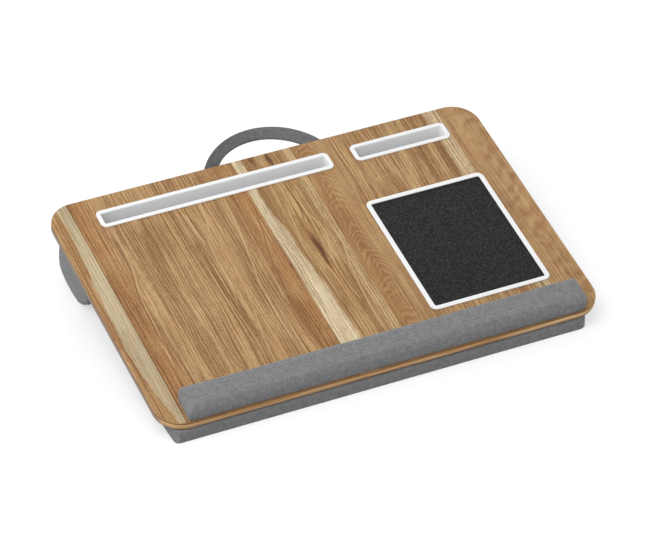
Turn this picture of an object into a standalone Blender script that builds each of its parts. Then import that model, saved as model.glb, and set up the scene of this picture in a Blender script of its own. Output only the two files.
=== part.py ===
"""Cushioned lap desk: a wood-grain board on two fabric bolsters, with trays, a mouse pad and a carry strap.

Metres, +Z up, +Y to the rear, standing on Z = 0 with the origin under the middle of its outer box.
Run with: blender --background --python part.py
"""
import math

import bmesh
import bpy
from mathutils import Matrix

# Fits
FIT_GAP = 0.0003                 # air between pieces that touch or are glued
CUT_GAP = 0.0006                 # air round a moulding in its cut-out
CUT_OVERRUN = 0.002              # how far a cutter runs past what it cuts

# Board, whose top face is the plane of the deck
BOARD_WIDTH = 0.535
BOARD_DEPTH = 0.354
BOARD_THICKNESS = 0.009
BOARD_CORNER = 0.032
TOP_SHEET = 0.0008
BOTTOM_SHEET = 0.0006
BAND_THICKNESS = 0.0022
BAND_ROUND = 0.0018

# How the deck stands
DECK_SLOPE = math.radians(10.6)
FRONT_STAND = 0.0152             # underside of the board over the table, at its front edge

# Trays
TABLET_SLOT_FROM_LEFT = 0.0583   # the tablet slot takes the width that these leave
PHONE_SLOT_LENGTH = 0.1114
PHONE_SLOT_FROM_RIGHT = 0.0491
SLOT_SPACING = 0.038
SLOT_WIDTH = 0.0168
SLOT_CORNER = 0.0016
SLOT_DEPTH = 0.0225              # from the rim's top to the slot's floor
SLOT_DRAFT = 0.0004              # how much a slot narrows on each side towards its floor
SLOT_FLOOR_ROUND = 0.001
SLOT_FROM_REAR = 0.0361          # slots' middle line to the board's rear edge
TRAY_WALL = 0.0016
RIM_WIDTH = 0.005
RIM_HEIGHT = 0.0012
RIM_ROUND = 0.0005
RIB_RADIUS = 0.0005              # press-in ribs on the trays' long sides
RIB_HEIGHT = 0.006
RIB_PITCH = 0.040

# Mouse pad
PAD_FRAME_WIDTH = 0.1488
PAD_FRAME_DEPTH = 0.1819
PAD_FROM_RIGHT = 0.0378
PAD_FROM_FRONT = 0.1498          # the pad's middle to the board's front edge
PAD_FRAME_CORNER = 0.0078
PAD_RIM_WIDTH = 0.0056
PAD_SKIRT_INSET = 0.0018
PAD_SKIRT_WALL = 0.0012
PAD_SHEET = 0.0012
PAD_UNDERLAY = 0.0016

# Wrist rest
REST_FROM_LEFT = 0.0285
REST_FROM_RIGHT = 0.0175
REST_WIDTH = 0.041
REST_HEIGHT = 0.0165
REST_FROM_FRONT = 0.0027
REST_CORNER = 0.010
REST_COVER = 0.0012
REST_HEM_TUCK = 0.0015           # how far the cover turns in at its lower edge
REST_SWELL_HEIGHT = 0.005        # where the cover is widest
REST_CROWN_INSET = 0.0135
REST_BASE = 0.002
REST_BASE_INSET = 0.002
REST_TAPE = 0.0008
REST_TAPE_WIDTH = 0.009
REST_TAPE_MARGIN = 0.006

# Cloth panel and its staples
CLOTH = 0.0012
CLOTH_INSET = 0.0015
STAPLE_WIRE = 0.001
STAPLE_CROWN = 0.010
STAPLE_LEG = 0.006
STAPLE_BEND = 0.001
STAPLE_FROM_EDGE = 0.0085
STAPLE_PITCH = 0.045
STAPLES_PER_SIDE = 5

# Bolsters
BOLSTER_COVER = 0.0012
BOLSTER_CORNER = 0.010
REAR_BOLSTER_FROM_SIDES = 0.014
REAR_BOLSTER_DEPTH = 0.100
REAR_BOLSTER_SETBACK = 0.0035    # from the board's rear edge
REAR_BOLSTER_TOE = 0.040         # round of its lower front edge
REAR_BOLSTER_TOE_HEIGHT = 0.040
REAR_BOLSTER_HEEL = 0.020        # round of its lower rear edge
REAR_BOLSTER_HEEL_HEIGHT = 0.018
REAR_BOLSTER_END_ROUND = 0.002
FRONT_BOLSTER_FROM_LEFT = 0.0155
FRONT_BOLSTER_FROM_RIGHT = 0.0215
FRONT_BOLSTER_DEPTH = 0.080
FRONT_BOLSTER_SETBACK = 0.0002   # from the board's front edge
FRONT_BOLSTER_EDGE = 0.002       # round of its lower long edges
FRONT_BOLSTER_EDGE_HEIGHT = 0.004
FRONT_BOLSTER_END_ROUND = 0.003

# Carry strap
STRAP_WIDTH = 0.0182
STRAP_THICKNESS = 0.0025
STRAP_EDGE_ROUND = 0.001
STRAP_LOOP_RADIUS = 0.0752       # to the middle of the webbing
STRAP_LOOP_X = 0.0078
STRAP_CENTRE_FROM_REAR = 0.0304  # loop's centre, in front of the board's rear edge
STRAP_HINGE_REACH = 0.003        # bending line, behind the board's rear edge
STRAP_HINGE_GAP = 0.0008
STRAP_TAB_LENGTH = 0.0205

# How finely round stretches are drawn
CORNER_STEPS = 6
ROUND_STEPS = 3
CROWN_STEPS = 5
LOOP_STEPS = 26
HOLE_SIDES = 8

# Levels in the deck's frame, Z = 0 on the board's top face
CORE_TOP = -(TOP_SHEET + FIT_GAP)
CORE_BOTTOM = -(BOARD_THICKNESS - BOTTOM_SHEET - FIT_GAP)
CLOTH_TOP = -(BOARD_THICKNESS + FIT_GAP)
CLOTH_BOTTOM = CLOTH_TOP - CLOTH
UNDER_CLOTH = CLOTH_BOTTOM - FIT_GAP
RIM_TOP = FIT_GAP + RIM_HEIGHT
SLOT_FLOOR = RIM_TOP - SLOT_DEPTH
TRAY_BOTTOM = SLOT_FLOOR - TRAY_WALL
PAD_TOP = 0.0
UNDERLAY_TOP = PAD_TOP - PAD_SHEET - FIT_GAP
UNDERLAY_BOTTOM = UNDERLAY_TOP - PAD_UNDERLAY
RECESS_FLOOR = UNDERLAY_BOTTOM - FIT_GAP
STRAP_MIDDLE = UNDER_CLOTH - STRAP_THICKNESS / 2

# Places in the deck's frame, origin at the middle of the board's top face
LEFT_EDGE = -BOARD_WIDTH / 2
RIGHT_EDGE = BOARD_WIDTH / 2
REAR_EDGE = BOARD_DEPTH / 2
FRONT_EDGE = -BOARD_DEPTH / 2
TABLET_SLOT_LEFT = LEFT_EDGE + TABLET_SLOT_FROM_LEFT
PHONE_SLOT_RIGHT = RIGHT_EDGE - PHONE_SLOT_FROM_RIGHT
TABLET_SLOT_LENGTH = PHONE_SLOT_RIGHT - PHONE_SLOT_LENGTH - SLOT_SPACING - TABLET_SLOT_LEFT
TABLET_SLOT_X = TABLET_SLOT_LEFT + TABLET_SLOT_LENGTH / 2
PHONE_SLOT_X = PHONE_SLOT_RIGHT - PHONE_SLOT_LENGTH / 2
PAD_X = RIGHT_EDGE - PAD_FROM_RIGHT - PAD_FRAME_WIDTH / 2
REST_LENGTH = BOARD_WIDTH - REST_FROM_LEFT - REST_FROM_RIGHT
REST_X = (REST_FROM_LEFT - REST_FROM_RIGHT) / 2
SLOT_Y = REAR_EDGE - SLOT_FROM_REAR
PAD_Y = FRONT_EDGE + PAD_FROM_FRONT
REST_Y = FRONT_EDGE + REST_FROM_FRONT + REST_WIDTH / 2
HINGE_Y = REAR_EDGE + STRAP_HINGE_REACH
LOOP_Y = REAR_EDGE - STRAP_CENTRE_FROM_REAR
LOOP_OUTER = STRAP_LOOP_RADIUS + STRAP_WIDTH / 2
LOOP_INNER = STRAP_LOOP_RADIUS - STRAP_WIDTH / 2
STRAP_END_Y = HINGE_Y - STRAP_THICKNESS / 2

# The deck's place in the world: its reach to the front and to the rear fixes the origin's Y
SLOPE_SIN = math.sin(DECK_SLOPE)
SLOPE_COS = math.cos(DECK_SLOPE)
FRONT_REACH = BOARD_DEPTH / 2 * SLOPE_COS
STRAP_EDGE_Y = LOOP_Y + LOOP_OUTER - STRAP_EDGE_ROUND
STRAP_EDGE_DROP = STRAP_THICKNESS / 2 - STRAP_EDGE_ROUND - STRAP_MIDDLE
REAR_REACH = STRAP_EDGE_Y * SLOPE_COS + STRAP_EDGE_DROP * SLOPE_SIN + STRAP_EDGE_ROUND
DECK_Y = (FRONT_REACH - REAR_REACH) / 2
DECK_Z = FRONT_STAND + BOARD_DEPTH / 2 * SLOPE_SIN + BOARD_THICKNESS * SLOPE_COS

PARTS = bpy.data.collections.new("lap_desk")
CUTTERS = bpy.data.collections.new("cutters")


def clear_scene():
    for item in list(bpy.data.objects):
        bpy.data.objects.remove(item, do_unlink=True)
    for collection in (PARTS, CUTTERS):
        bpy.context.scene.collection.children.link(collection)


def finish_material(name, colour, roughness, metallic=0.0):
    material = bpy.data.materials.new(name)
    material.use_nodes = True
    shader = material.node_tree.nodes["Principled BSDF"]
    shader.inputs["Base Color"].default_value = (*colour, 1.0)
    shader.inputs["Roughness"].default_value = roughness
    shader.inputs["Metallic"].default_value = metallic
    return material


def deck_to_world(y, z):
    """World Y and Z of a point given in the deck's frame."""
    return DECK_Y + y * SLOPE_COS - z * SLOPE_SIN, DECK_Z + y * SLOPE_SIN + z * SLOPE_COS


def deck_height(y, level):
    """World height of the plane at a deck level, above a world Y."""
    return DECK_Z + (y - DECK_Y) * SLOPE_SIN / SLOPE_COS + level / SLOPE_COS


def add_empty(name, location, slope=0.0, parent=None):
    empty = bpy.data.objects.new(name, None)
    empty.location = location
    empty.rotation_euler = (slope, 0.0, 0.0)
    empty.parent = parent
    PARTS.objects.link(empty)
    return empty


def add_mesh(name, mesh, material=None, parent=None, collection=PARTS):
    piece = bpy.data.objects.new(name, mesh)
    piece.parent = parent
    collection.objects.link(piece)
    if material:
        mesh.materials.append(material)
        mesh.shade_smooth()
        mesh.set_sharp_from_angle(angle=math.radians(30))
    return piece


def hide_cutter(piece):
    piece.hide_render = True
    piece.display_type = "WIRE"
    return piece


def box_round(x_low, x_high, y_low, y_high, corner, level):
    """Points of a rectangle with round corners; level is a height, or a rule that gives one from Y."""
    points = []
    centres = ((x_high - corner, y_low + corner), (x_high - corner, y_high - corner),
               (x_low + corner, y_high - corner), (x_low + corner, y_low + corner))
    for quarter, (x, y) in enumerate(centres):
        for step in range(CORNER_STEPS + 1):
            angle = (quarter - 1 + step / CORNER_STEPS) * math.pi / 2
            px = x + corner * math.cos(angle)
            py = y + corner * math.sin(angle)
            points.append((px, py, level(py) if callable(level) else level))
    return points


def outline_ring(size, centre, corner, grow, level):
    """A rounded rectangle offset by grow from one of the given size and corner."""
    half_x = size[0] / 2 + grow
    half_y = size[1] / 2 + grow
    return box_round(centre[0] - half_x, centre[0] + half_x, centre[1] - half_y, centre[1] + half_y,
                     corner + grow, level)


def loft_mesh(name, rings):
    """Skin a row of rings and cap both ends."""
    bm = bmesh.new()
    loops = [[bm.verts.new(point) for point in ring] for ring in rings]
    bm.faces.new(loops[0])
    bm.faces.new(loops[-1])
    for lower, upper in zip(loops, loops[1:]):
        count = len(lower)
        for i in range(count):
            j = (i + 1) % count
            bm.faces.new((lower[i], lower[j], upper[j], upper[i]))
    bmesh.ops.recalc_face_normals(bm, faces=bm.faces)
    mesh = bpy.data.meshes.new(name)
    bm.to_mesh(mesh)
    bm.free()
    return mesh


def loft_profile(name, size, centre, corner, profile):
    """Rounded rectangles at the (grow, level) points of a cross-section, skinned and capped."""
    return loft_mesh(name, [outline_ring(size, centre, corner, grow, level) for grow, level in profile])


def slab_mesh(name, size, centre, corner, low, high):
    """A box whose four upright edges are rounded."""
    bm = bmesh.new()
    place = Matrix.Translation((centre[0], centre[1], (low + high) / 2))
    stretch = Matrix.Diagonal((size[0], size[1], high - low, 1.0))
    bmesh.ops.create_cube(bm, size=1.0, matrix=place @ stretch)
    if corner:
        middle = (low + high) / 2
        uprights = [edge for edge in bm.edges
                    if (edge.verts[0].co.z - middle) * (edge.verts[1].co.z - middle) < 0]
        bmesh.ops.bevel(bm, geom=uprights, offset=corner, offset_type="OFFSET", segments=CORNER_STEPS,
                        profile=0.5, affect="EDGES")
    mesh = bpy.data.meshes.new(name)
    bm.to_mesh(mesh)
    bm.free()
    return mesh


def poly_curve(name, points):
    """A closed flat outline as a curve object."""
    curve = bpy.data.curves.new(name, "CURVE")
    curve.dimensions = "2D"
    spline = curve.splines.new("POLY")
    spline.use_cyclic_u = True
    spline.points.add(len(points) - 1)
    for point, place in zip(spline.points, points):
        point.co = (place[0], place[1], 0.0, 1.0)
    outline = bpy.data.objects.new(name, curve)
    PARTS.objects.link(outline)
    return outline


def mesh_from_curve(outline):
    """The curve's evaluated mesh, welded and facing out; the curve is removed."""
    bpy.context.view_layer.update()
    evaluated = outline.evaluated_get(bpy.context.evaluated_depsgraph_get())
    mesh = bpy.data.meshes.new_from_object(evaluated)
    bpy.data.objects.remove(outline, do_unlink=True)
    bm = bmesh.new()
    bm.from_mesh(mesh)
    bmesh.ops.remove_doubles(bm, verts=bm.verts, dist=FIT_GAP / 10)
    bmesh.ops.dissolve_limit(bm, angle_limit=math.radians(1), verts=bm.verts, edges=bm.edges)
    bmesh.ops.recalc_face_normals(bm, faces=bm.faces)
    bm.to_mesh(mesh)
    bm.free()
    return mesh


def swept_frame(size, centre, corner, profile):
    """Sweep a closed cross-section of (grow, level) points round a rounded rectangle."""
    section = poly_curve("section", [(-grow, level) for grow, level in profile])
    path = poly_curve("path", outline_ring(size, centre, corner, 0.0, 0.0))
    path.data.bevel_mode = "OBJECT"
    path.data.bevel_object = section
    mesh = mesh_from_curve(path)
    bpy.data.objects.remove(section, do_unlink=True)
    return mesh


def cut(piece, cutter):
    modifier = piece.modifiers.new("cut", "BOOLEAN")
    modifier.operation = "DIFFERENCE"
    modifier.solver = "EXACT"
    modifier.object = cutter


def join(piece, tool):
    modifier = piece.modifiers.new("join", "BOOLEAN")
    modifier.operation = "UNION"
    modifier.solver = "EXACT"
    modifier.object = tool


def arc_profile(grow, level, radius, start, end):
    """Cross-section points on an arc round (grow, level), angles from the outward side."""
    points = []
    for step in range(ROUND_STEPS + 1):
        angle = start + (end - start) * step / ROUND_STEPS
        points.append((grow + radius * math.cos(angle), level + radius * math.sin(angle)))
    return points


# Board

def inner_board():
    """Size and corner of what lies inside the edge band."""
    inset = BAND_THICKNESS + FIT_GAP
    return (BOARD_WIDTH - 2 * inset, BOARD_DEPTH - 2 * inset), BOARD_CORNER - inset


def build_board(deck, cutters):
    size, corner = inner_board()
    wood = finish_material("oak grain", (0.50, 0.30, 0.14), 0.45)
    fibre = finish_material("fibreboard", (0.42, 0.30, 0.19), 0.85)
    backing = finish_material("backing sheet", (0.20, 0.19, 0.18), 0.7)
    whole = (BOARD_WIDTH, BOARD_DEPTH), BOARD_CORNER
    inner = size, corner
    layers = {
        "top_sheet": (whole, CORE_TOP + FIT_GAP, 0.0, wood),
        "board_core": (inner, CORE_BOTTOM, CORE_TOP, fibre),
        "bottom_sheet": (inner, -BOARD_THICKNESS, -BOARD_THICKNESS + BOTTOM_SHEET, backing),
    }
    pieces = {}
    for name, (outline, low, high, material) in layers.items():
        mesh = slab_mesh(name, outline[0], (0.0, 0.0), outline[1], low, high)
        pieces[name] = add_mesh(name, mesh, material, deck)
        for tray_cutter in cutters["trays"]:
            cut(pieces[name], tray_cutter)
    cut(pieces["top_sheet"], cutters["pad"])
    cut(pieces["board_core"], cutters["pad"])
    cut(pieces["board_core"], cutters["staples"])
    cut(pieces["bottom_sheet"], cutters["staples"])
    build_band(deck, wood)


def build_band(deck, wood):
    """Edging round the core, under the top sheet, which runs to the board's edge."""
    profile = [(-BAND_THICKNESS, -BOARD_THICKNESS)]
    profile += arc_profile(-BAND_ROUND, -BOARD_THICKNESS + BAND_ROUND, BAND_ROUND, -math.pi / 2, 0.0)
    profile += [(0.0, CORE_TOP), (-BAND_THICKNESS, CORE_TOP)]
    mesh = swept_frame((BOARD_WIDTH, BOARD_DEPTH), (0.0, 0.0), BOARD_CORNER, profile)
    add_mesh("edge_band", mesh, wood, deck)


# Trays

def build_tray(name, length, centre_x, deck, material):
    """A drafted pocket with a rounded rim that rests on the board."""
    profile = [(-SLOT_DRAFT - SLOT_FLOOR_ROUND, SLOT_FLOOR), (-SLOT_DRAFT, SLOT_FLOOR + SLOT_FLOOR_ROUND)]
    profile += arc_profile(RIM_ROUND, RIM_TOP - RIM_ROUND, RIM_ROUND, math.pi, math.pi / 2)
    profile += arc_profile(RIM_WIDTH - RIM_ROUND, RIM_TOP - RIM_ROUND, RIM_ROUND, math.pi / 2, 0.0)
    profile += [(RIM_WIDTH, FIT_GAP), (TRAY_WALL, FIT_GAP),
                (TRAY_WALL - SLOT_DRAFT, TRAY_BOTTOM + SLOT_FLOOR_ROUND),
                (TRAY_WALL - SLOT_DRAFT - SLOT_FLOOR_ROUND, TRAY_BOTTOM)]
    mesh = loft_profile(name, (length, SLOT_WIDTH), (centre_x, SLOT_Y), SLOT_CORNER + SLOT_FLOOR_ROUND, profile)
    tray = add_mesh(name, mesh, material, deck)
    join(tray, tray_ribs(name, length, centre_x, deck))


def tray_ribs(name, length, centre_x, deck):
    """Half-round ribs down the pocket's long sides, which centre it in its cut-out."""
    bm = bmesh.new()
    count = int(length / RIB_PITCH)
    for i in range(count):
        x = centre_x + (i - (count - 1) / 2) * RIB_PITCH
        for side in (-1, 1):
            y = SLOT_Y + side * (SLOT_WIDTH / 2 + TRAY_WALL - RIB_RADIUS / 2)
            top = RIM_HEIGHT / 2
            place = Matrix.Translation((x, y, top - RIB_HEIGHT / 2))
            bmesh.ops.create_cone(bm, cap_ends=True, segments=HOLE_SIDES, radius1=RIB_RADIUS,
                                  radius2=RIB_RADIUS, depth=RIB_HEIGHT, matrix=place)
    mesh = bpy.data.meshes.new(name + "_ribs")
    bm.to_mesh(mesh)
    bm.free()
    return hide_cutter(add_mesh(name + "_ribs", mesh, parent=deck, collection=CUTTERS))


def tray_cutter(name, length, centre_x, deck, clearance):
    """The cut-out a tray drops into, through the board, its sheets and the cloth."""
    grow = TRAY_WALL + clearance
    mesh = slab_mesh(name, (length + 2 * grow, SLOT_WIDTH + 2 * grow), (centre_x, SLOT_Y),
                     SLOT_CORNER + SLOT_FLOOR_ROUND + grow, TRAY_BOTTOM - clearance, CUT_OVERRUN)
    return hide_cutter(add_mesh(name, mesh, parent=deck, collection=CUTTERS))


# Mouse pad

def pad_outline(inset):
    """Size and corner of the pad frame's outline moved in by inset."""
    size = (PAD_FRAME_WIDTH - 2 * inset, PAD_FRAME_DEPTH - 2 * inset)
    return size, max(PAD_FRAME_CORNER - inset, SLOT_CORNER)


def build_pad(deck, plastic):
    size, corner = pad_outline(0.0)
    skirt_out = -PAD_SKIRT_INSET
    skirt_in = skirt_out - PAD_SKIRT_WALL
    profile = [(skirt_in, UNDERLAY_BOTTOM), (skirt_out, UNDERLAY_BOTTOM), (skirt_out, FIT_GAP), (0.0, FIT_GAP)]
    profile += arc_profile(-RIM_ROUND, RIM_TOP - RIM_ROUND, RIM_ROUND, 0.0, math.pi / 2)
    profile += arc_profile(RIM_ROUND - PAD_RIM_WIDTH, RIM_TOP - RIM_ROUND, RIM_ROUND, math.pi / 2, math.pi)
    profile += [(-PAD_RIM_WIDTH, FIT_GAP), (skirt_in, FIT_GAP)]
    centre = (PAD_X, PAD_Y)
    add_mesh("pad_frame", swept_frame(size, centre, corner, profile), plastic, deck)
    size, corner = pad_outline(PAD_SKIRT_INSET + PAD_SKIRT_WALL + FIT_GAP)
    leather = finish_material("black grained leather", (0.03, 0.03, 0.032), 0.55)
    foam = finish_material("black foam", (0.05, 0.05, 0.05), 0.95)
    for name, low, high, material in (("mouse_pad", PAD_TOP - PAD_SHEET, PAD_TOP, leather),
                                      ("pad_underlay", UNDERLAY_BOTTOM, UNDERLAY_TOP, foam)):
        add_mesh(name, slab_mesh(name, size, centre, corner, low, high), material, deck)


def pad_cutter(deck):
    size, corner = pad_outline(PAD_SKIRT_INSET - CUT_GAP)
    mesh = slab_mesh("pad_recess_cutter", size, (PAD_X, PAD_Y), corner, RECESS_FLOOR, CUT_OVERRUN)
    return hide_cutter(add_mesh("pad_recess_cutter", mesh, parent=deck, collection=CUTTERS))


# Wrist rest

def rest_dome(size, grow, low, swell, top):
    """Rings of the padded dome from its lower edge to its crown."""
    rings = [(grow - REST_HEM_TUCK, low), (grow, swell)]
    reach = REST_CROWN_INSET
    for step in range(1, CROWN_STEPS + 1):
        angle = step / CROWN_STEPS * math.pi / 2
        rings.append((grow - reach * (1 - math.cos(angle)), swell + (top - swell) * math.sin(angle)))
    return [outline_ring(size, (REST_X, REST_Y), REST_CORNER - g / 2, g, z) for g, z in rings]


def build_wrist_rest(deck, fabric):
    size = (REST_LENGTH, REST_WIDTH)
    low = 2 * FIT_GAP
    top = REST_HEIGHT
    outer = rest_dome(size, 0.0, low, REST_SWELL_HEIGHT, top)
    inner = rest_dome(size, -REST_COVER, low, REST_SWELL_HEIGHT, top - REST_COVER)
    add_mesh("wrist_rest_cover", loft_mesh("wrist_rest_cover", inner[::-1] + outer), fabric, deck)
    foam = finish_material("white foam", (0.75, 0.73, 0.68), 0.95)
    base_top = REST_TAPE + REST_BASE + 2 * FIT_GAP
    foam_low = base_top + FIT_GAP
    grow = -REST_COVER - FIT_GAP
    rings = rest_dome(size, grow, foam_low, REST_SWELL_HEIGHT, top - REST_COVER - FIT_GAP)
    add_mesh("wrist_rest_foam", loft_mesh("wrist_rest_foam", rings), foam, deck)
    board = finish_material("grey board strip", (0.25, 0.25, 0.25), 0.8)
    inset = REST_COVER + REST_HEM_TUCK + REST_BASE_INSET
    base_size = (REST_LENGTH - 2 * inset, REST_WIDTH - 2 * inset)
    mesh = slab_mesh("wrist_rest_base", base_size, (REST_X, REST_Y), REST_CORNER - inset,
                     base_top - REST_BASE, base_top)
    add_mesh("wrist_rest_base", mesh, board, deck)
    build_rest_tape(deck)


def build_rest_tape(deck):
    tape = finish_material("adhesive tape", (0.85, 0.84, 0.80), 0.6)
    length = REST_LENGTH - 2 * REST_CORNER - 2 * REST_TAPE_MARGIN
    offset = REST_WIDTH / 2 - REST_TAPE_MARGIN - REST_TAPE_WIDTH / 2
    for name, side in (("wrist_rest_tape_front", -1), ("wrist_rest_tape_rear", 1)):
        centre = (REST_X, REST_Y + side * offset)
        add_mesh(name, slab_mesh(name, (length, REST_TAPE_WIDTH), centre, 0.0, FIT_GAP, FIT_GAP + REST_TAPE),
                 tape, deck)


# Cloth panel and its staples

def staple_places():
    x = BOARD_WIDTH / 2 - STAPLE_FROM_EDGE
    for side in (-1, 1):
        for i in range(STAPLES_PER_SIDE):
            yield side * x, (i - (STAPLES_PER_SIDE - 1) / 2) * STAPLE_PITCH


def build_cloth(deck, fabric, cutters):
    inset = CLOTH_INSET
    size = (BOARD_WIDTH - 2 * inset, BOARD_DEPTH - 2 * inset)
    mesh = slab_mesh("base_cloth", size, (0.0, 0.0), BOARD_CORNER - inset, CLOTH_BOTTOM, CLOTH_TOP)
    cloth = add_mesh("base_cloth", mesh, fabric, deck)
    for tray_hole in cutters["trays"]:
        cut(cloth, tray_hole)
    cut(cloth, cutters["staples"])
    build_staples(deck)


def build_staples(deck):
    """Staples that share one bent wire: legs up into the board, crown under the cloth."""
    wire = bpy.data.curves.new("cloth_staple", "CURVE")
    wire.dimensions = "3D"
    wire.bevel_depth = STAPLE_WIRE / 2
    wire.bevel_resolution = 1
    wire.use_fill_caps = True
    wire.materials.append(finish_material("zinc wire", (0.6, 0.6, 0.62), 0.35, 1.0))
    half = STAPLE_CROWN / 2
    route = [(0.0, -half, STAPLE_LEG)] + staple_bend(1) + staple_bend(-1)[::-1] + [(0.0, half, STAPLE_LEG)]
    spline = wire.splines.new("POLY")
    spline.points.add(len(route) - 1)
    for point, place in zip(spline.points, route):
        point.co = (*place, 1.0)
    crown = CLOTH_BOTTOM - FIT_GAP - STAPLE_WIRE / 2
    for number, (x, y) in enumerate(staple_places(), 1):
        staple = bpy.data.objects.new("cloth_staple_" + str(number), wire)
        staple.location = (x, y, crown)
        staple.parent = deck
        PARTS.objects.link(staple)


def staple_bend(inward):
    """Points round one lower corner of a staple, from its leg to its crown."""
    points = []
    for step in range(ROUND_STEPS + 1):
        angle = step / ROUND_STEPS * math.pi / 2
        points.append((0.0, inward * (STAPLE_BEND * (1 - math.cos(angle)) - STAPLE_CROWN / 2),
                       STAPLE_BEND * (1 - math.sin(angle))))
    return points


def staple_cutter(deck):
    bm = bmesh.new()
    high = CLOTH_BOTTOM - FIT_GAP - STAPLE_WIRE / 2 + STAPLE_LEG + FIT_GAP
    low = CLOTH_BOTTOM - CUT_OVERRUN
    radius = STAPLE_WIRE / 2 + FIT_GAP
    for x, y in staple_places():
        for side in (-1, 1):
            place = Matrix.Translation((x, y + side * STAPLE_CROWN / 2, (low + high) / 2))
            bmesh.ops.create_cone(bm, cap_ends=True, segments=HOLE_SIDES, radius1=radius, radius2=radius,
                                  depth=high - low, matrix=place)
    mesh = bpy.data.meshes.new("staple_hole_cutter")
    bm.to_mesh(mesh)
    bm.free()
    return hide_cutter(add_mesh("staple_hole_cutter", mesh, parent=deck, collection=CUTTERS))


# Bolsters

def slope_between(y_low, z_low, y_high, z_high):
    """A rule that gives the height on the straight line through two points."""
    return lambda y: z_low + (z_high - z_low) * (y - y_low) / (y_high - y_low)


def bolster_rings(spans, rounds, inset, floor):
    """Rings from the flat underside up to the sloping plane under the cloth.

    spans holds the left, right, front and rear faces; rounds holds the lower round at the ends,
    then depth and height of the rounds at the front edge and at the rear edge.
    """
    left, right, front, rear = spans
    end_round, toe, toe_height, heel, heel_height = rounds
    corner = BOLSTER_CORNER - inset
    rings = []
    for step in range(CROWN_STEPS + 1):
        angle = step / CROWN_STEPS * math.pi / 2
        draw_in = 1 - math.sin(angle)
        side = inset + end_round * draw_in
        y_low = front + inset + toe * draw_in
        y_high = rear - inset - heel * draw_in
        z_low = floor + (toe_height - inset) * (1 - math.cos(angle))
        z_high = floor + (heel_height - inset) * (1 - math.cos(angle))
        rings.append(box_round(left + side, right - side, y_low, y_high, corner,
                               slope_between(y_low, z_low, y_high, z_high)))
    rings.append(box_round(left + inset, right - inset, front + inset, rear - inset, corner,
                           lambda y: deck_height(y, UNDER_CLOTH)))
    return rings


def build_bolster(name, spans, rounds, fabric, filling):
    """A sewn cover, open where it is sewn to the cloth panel, and its filling."""
    outer = bolster_rings(spans, rounds, 0.0, 0.0)
    inner = bolster_rings(spans, rounds, BOLSTER_COVER, BOLSTER_COVER)
    cover = add_mesh(name + "_cover", loft_mesh(name + "_cover", inner + outer[::-1]), fabric)
    skin = BOLSTER_COVER + FIT_GAP
    rings = bolster_rings(spans, rounds, skin, skin)
    fill = add_mesh(name + "_fill", loft_mesh(name + "_fill", rings), filling)
    return cover, fill


def build_bolsters(fabric, cutters):
    filling = finish_material("bead filling", (0.82, 0.81, 0.78), 0.9)
    rear = deck_to_world(REAR_EDGE - REAR_BOLSTER_SETBACK, UNDER_CLOTH)[0]
    spans = (LEFT_EDGE + REAR_BOLSTER_FROM_SIDES, RIGHT_EDGE - REAR_BOLSTER_FROM_SIDES,
             rear - REAR_BOLSTER_DEPTH, rear)
    rounds = (REAR_BOLSTER_END_ROUND, REAR_BOLSTER_TOE, REAR_BOLSTER_TOE_HEIGHT,
              REAR_BOLSTER_HEEL, REAR_BOLSTER_HEEL_HEIGHT)
    cover, fill = build_bolster("rear_bolster", spans, rounds, fabric, filling)
    cut(cover, cutters["tabs"])
    cut(fill, cutters["tabs"])
    for pocket in cutters["pockets"]:
        cut(fill, pocket)
    front = deck_to_world(FRONT_EDGE + FRONT_BOLSTER_SETBACK, UNDER_CLOTH)[0]
    spans = (LEFT_EDGE + FRONT_BOLSTER_FROM_LEFT, RIGHT_EDGE - FRONT_BOLSTER_FROM_RIGHT,
             front, front + FRONT_BOLSTER_DEPTH)
    rounds = (FRONT_BOLSTER_END_ROUND, FRONT_BOLSTER_EDGE, FRONT_BOLSTER_EDGE_HEIGHT,
              FRONT_BOLSTER_EDGE, FRONT_BOLSTER_EDGE_HEIGHT)
    build_bolster("front_bolster", spans, rounds, fabric, filling)


# Carry strap

def tab_span():
    """Where the webbing's two edges cross the bending line, out from the loop's middle."""
    rise = STRAP_END_Y - LOOP_Y
    return math.sqrt(LOOP_INNER ** 2 - rise ** 2), math.sqrt(LOOP_OUTER ** 2 - rise ** 2)


def build_tabs(deck, webbing):
    near, far = tab_span()
    rear = STRAP_END_Y - STRAP_HINGE_GAP
    for name, side in (("strap_tab_left", -1), ("strap_tab_right", 1)):
        centre = (STRAP_LOOP_X + side * (near + far) / 2, rear - STRAP_TAB_LENGTH / 2)
        mesh = slab_mesh(name, (far - near, STRAP_TAB_LENGTH), centre, 0.0,
                         STRAP_MIDDLE - STRAP_THICKNESS / 2, STRAP_MIDDLE + STRAP_THICKNESS / 2)
        add_mesh(name, mesh, webbing, deck)


def tab_cutter(deck):
    """Notches in the rear seam and filling that the strap's ends lie in."""
    near, far = tab_span()
    bm = bmesh.new()
    front = STRAP_END_Y - STRAP_HINGE_GAP - STRAP_TAB_LENGTH - CUT_GAP
    rear = REAR_EDGE + CUT_OVERRUN
    low = STRAP_MIDDLE - STRAP_THICKNESS / 2 - FIT_GAP
    high = UNDER_CLOTH + CUT_OVERRUN
    for side in (-1, 1):
        middle = STRAP_LOOP_X + side * (near + far) / 2
        place = Matrix.Translation((middle, (front + rear) / 2, (low + high) / 2))
        stretch = Matrix.Diagonal((far - near + 2 * CUT_GAP, rear - front, high - low, 1.0))
        bmesh.ops.create_cube(bm, size=1.0, matrix=place @ stretch)
    mesh = bpy.data.meshes.new("strap_notch_cutter")
    bm.to_mesh(mesh)
    bm.free()
    return hide_cutter(add_mesh("strap_notch_cutter", mesh, parent=deck, collection=CUTTERS))


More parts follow.
